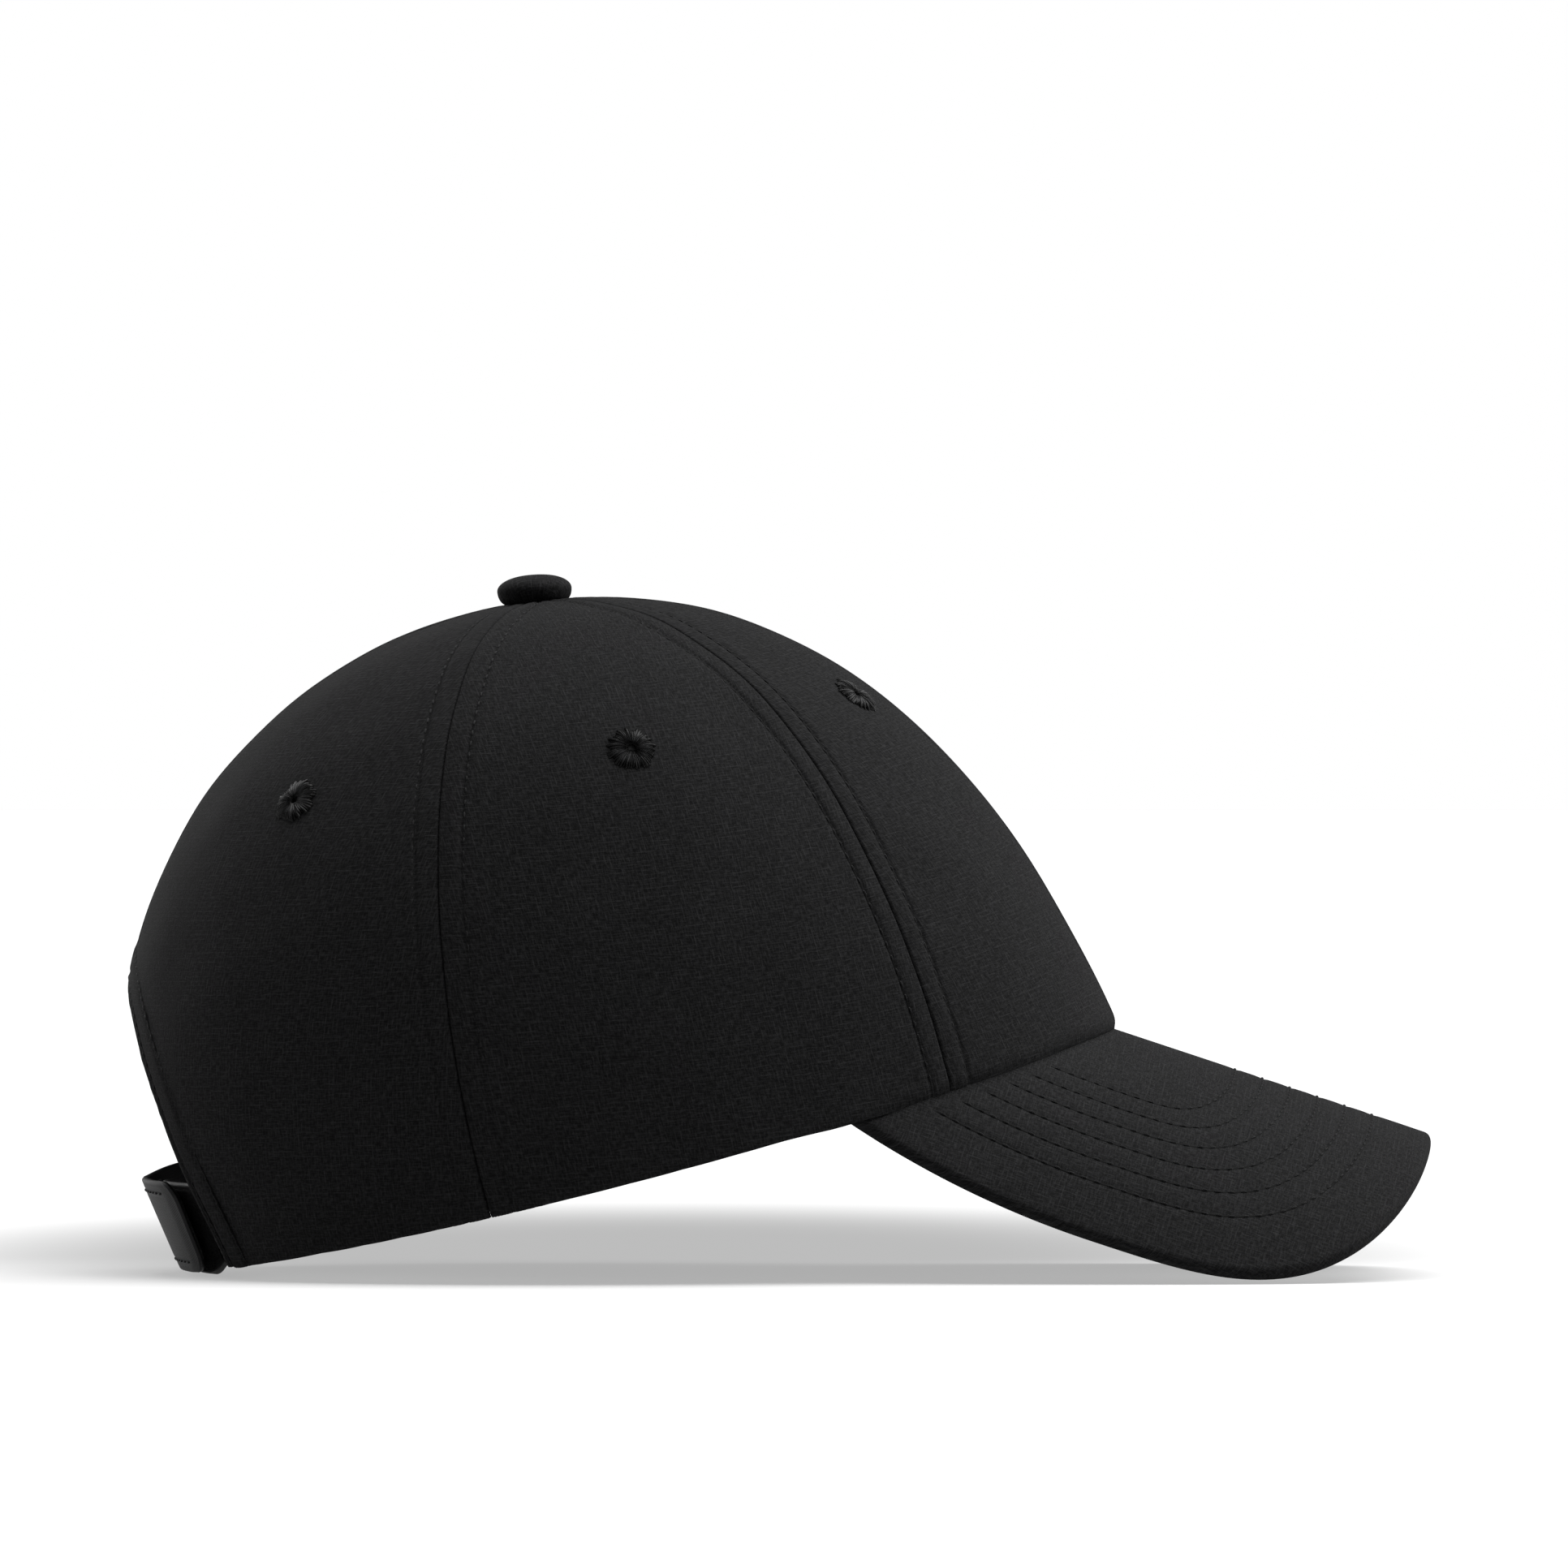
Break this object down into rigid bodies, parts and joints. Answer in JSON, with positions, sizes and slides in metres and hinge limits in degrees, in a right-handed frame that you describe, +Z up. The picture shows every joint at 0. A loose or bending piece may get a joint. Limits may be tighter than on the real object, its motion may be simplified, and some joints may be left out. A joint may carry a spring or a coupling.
{
  "type": "baseball cap",
  "caption": "Soft six-panel cap with a curved visor, button, vent eyelets, sweatband and a rear arch closed by a hook-and-loop strap.",
  "frame": {"origin": "centre of the bounding box on the surface the cap stands on", "axes": "+Z up, -Y towards the tip of the visor, +X towards the wearer's left"},
  "size_m": [0.172, 0.2751, 0.1476],
  "materials": {
    "crown_cloth": "matt woven black cloth with a fine paler thread",
    "seam_tape": "matt twill tape",
    "buckram": "stiff open-weave buckram",
    "embroidery_thread": "satin-stitched polyester thread",
    "sweatband_cloth": "matt brushed cotton",
    "foam": "soft open-cell foam, hidden",
    "visor_board": "moulded board, hidden",
    "steel": "plain pressed steel",
    "strap_webbing": "satin-faced strap cloth with a soft sheen",
    "hook_tape": "field of small plastic hooks",
    "loop_pile": "brushed loop pile, very dark"
  },
  "bodies": {
    "cap": {"front_left_panel": "crown_cloth", "front_right_panel": "crown_cloth", "side_left_panel": "crown_cloth", "side_right_panel": "crown_cloth", "back_left_panel": "crown_cloth", "back_right_panel": "crown_cloth", "front_left_buckram": "buckram", "front_right_buckram": "buckram", "center_seam_tape": "seam_tape", "front_left_seam_tape": "seam_tape", "front_right_seam_tape": "seam_tape", "back_left_seam_tape": "seam_tape", "back_right_seam_tape": "seam_tape", "arch_binding": "seam_tape", "front_left_eyelet": "embroidery_thread", "front_right_eyelet": "embroidery_thread", "side_left_eyelet": "embroidery_thread", "side_right_eyelet": "embroidery_thread", "back_left_eyelet": "embroidery_thread", "back_right_eyelet": "embroidery_thread", "sweatband": "sweatband_cloth", "sweatband_foam": "foam", "visor_top_cloth": "crown_cloth", "visor_board": "visor_board", "visor_under_cloth": "crown_cloth", "button_cover": "crown_cloth", "button_shell": "steel", "button_base": "steel", "button_rivet": "steel", "hook_tab_sewn_end": "strap_webbing", "loop_tab_sewn_end": "strap_webbing"},
    "hook_flap": {"hook_tab": "strap_webbing", "hook_pad": "hook_tape"},
    "loop_flap": {"loop_tab": "strap_webbing", "loop_pad": "loop_pile"}
  },
  "joints": [
    {"name": "hook_tab_peel", "type": "hinge", "parent": "cap", "child": "hook_flap", "pos_m": [0.03016, 0.12599, 0.01142], "axis": [0.0209, 0, -0.9998], "range_deg": [0, 70]},
    {"name": "loop_tab_flex", "type": "hinge", "parent": "cap", "child": "loop_flap", "pos_m": [-0.03268, 0.11402, 0.01], "axis": [0, 0, -1], "range_deg": [0, 20]}
  ]
}
